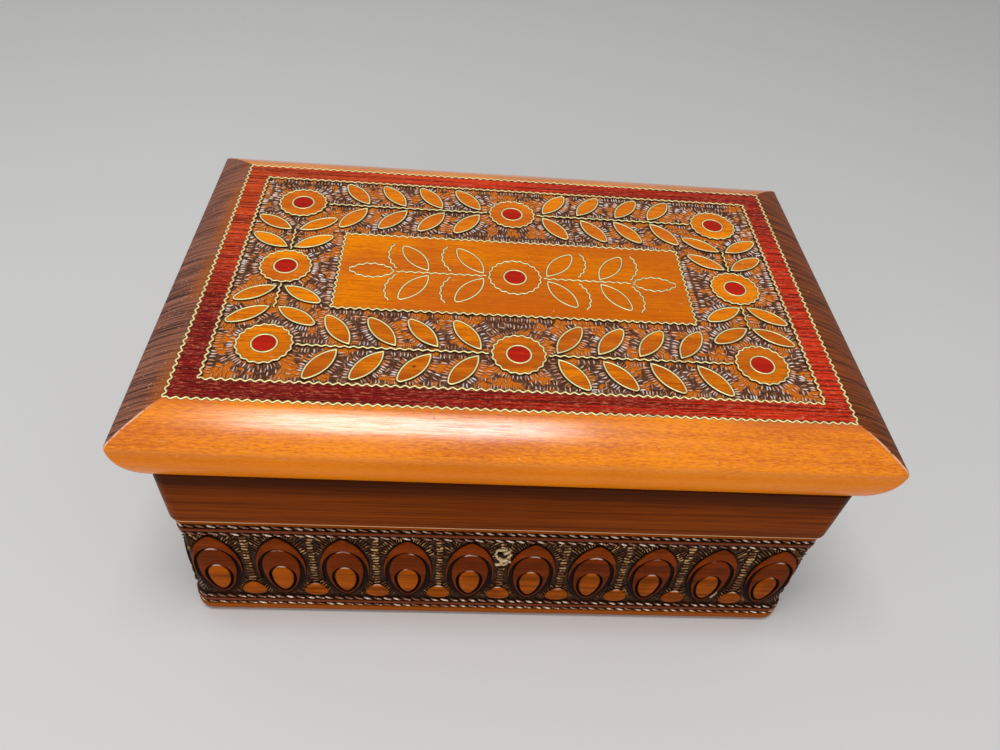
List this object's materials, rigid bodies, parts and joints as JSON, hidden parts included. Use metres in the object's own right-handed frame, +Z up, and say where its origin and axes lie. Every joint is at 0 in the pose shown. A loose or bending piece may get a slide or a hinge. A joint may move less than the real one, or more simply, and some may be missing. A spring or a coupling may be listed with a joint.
{
  "type": "inlaid jewelry box",
  "caption": "Hinged wooden jewelry box with a thick moulded lid inlaid with crimped brass strips and a base carved with a drop frieze.",
  "frame": {"origin": "middle of the underside, on the surface that the box stands on", "axes": "+X along the length, +Y towards the hinges, +Z up"},
  "size_m": [0.255, 0.166, 0.1204],
  "materials": {
    "lid_wood": "varnished",
    "base_wood": "varnished",
    "raw_wood": "bare",
    "inlay_brass": "dull",
    "hinge_brass": "satin",
    "nail_steel": "plain"
  },
  "bodies": {
    "base": {"front_wall": "base_wood", "back_wall": "base_wood", "left_wall": "base_wood", "right_wall": "base_wood", "bottom_board": "raw_wood", "bottom_nails": "nail_steel", "base_hinge_leaf_left": "hinge_brass", "base_hinge_leaf_right": "hinge_brass", "hinge_pin_left": "nail_steel", "hinge_pin_right": "nail_steel", "base_hinge_screws": "hinge_brass"},
    "lid": {"lid_board": "lid_wood", "outer_border_wire": "inlay_brass", "inner_border_wire": "inlay_brass", "panel_border_wire": "inlay_brass", "row_stem_wires": "inlay_brass", "row_leaf_wires": "inlay_brass", "column_stem_wires": "inlay_brass", "column_leaf_wires": "inlay_brass", "flower_ring_wires": "inlay_brass", "flower_eye_wires": "inlay_brass", "panel_stem_wires": "inlay_brass", "panel_leaf_wires": "inlay_brass", "panel_tendril_wires": "inlay_brass", "panel_bud_wires": "inlay_brass", "lid_hinge_leaf_left": "hinge_brass", "lid_hinge_leaf_right": "hinge_brass", "lid_hinge_screws": "hinge_brass"}
  },
  "joints": [
    {"name": "lid_hinge", "type": "hinge", "parent": "base", "child": "lid", "pos_m": [0, 0.0793, 0.0921], "axis": [-1, 0, 0], "range_deg": [0, 105]}
  ]
}
